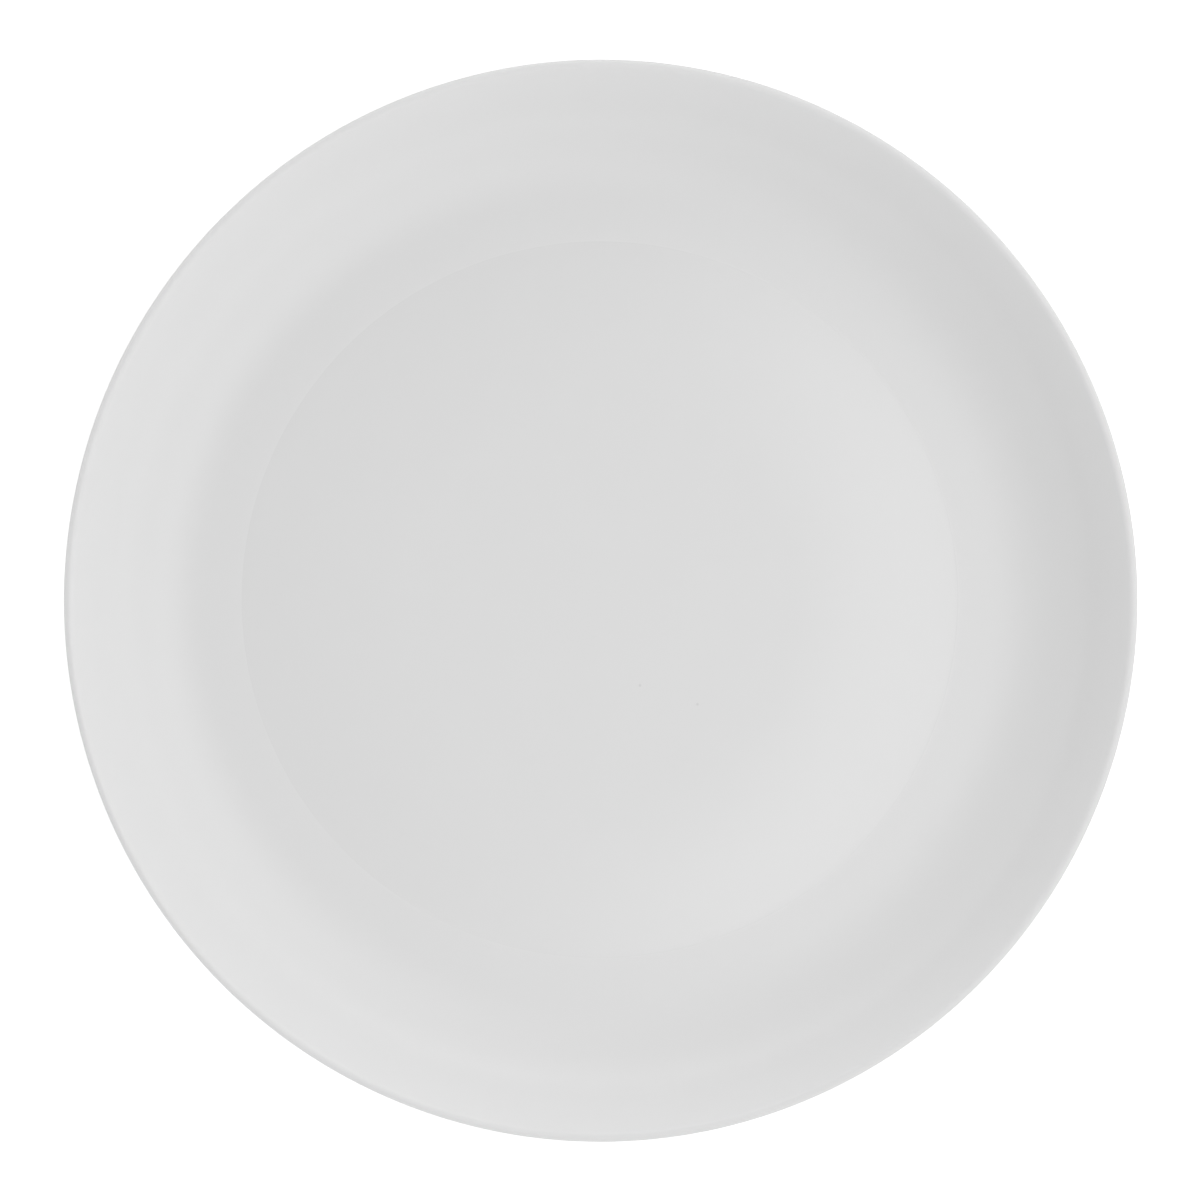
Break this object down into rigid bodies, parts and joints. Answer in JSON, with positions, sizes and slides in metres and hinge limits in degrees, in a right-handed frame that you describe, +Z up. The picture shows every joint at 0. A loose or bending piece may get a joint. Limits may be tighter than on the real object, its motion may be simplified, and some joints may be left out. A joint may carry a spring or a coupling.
{
  "type": "soup plate",
  "caption": "Rimless round soup plate in white glazed porcelain, with a gently crowned floor, a wall that curves up to about 45 degrees, a rounded lip and a bare foot ring to stand on.",
  "frame": {"origin": "centre of the foot ring's bearing face, on the plate's turning axis", "axes": "+Z up along the turning axis; X and Y are alike, because the plate is round"},
  "size_m": [0.23, 0.23, 0.025],
  "materials": {
    "bare_porcelain": "matte",
    "glaze": "gloss"
  },
  "bodies": {
    "root": {"porcelain_body": "bare_porcelain", "glaze_coat": "glaze", "recess_glaze": "glaze"}
  },
  "joints": []
}
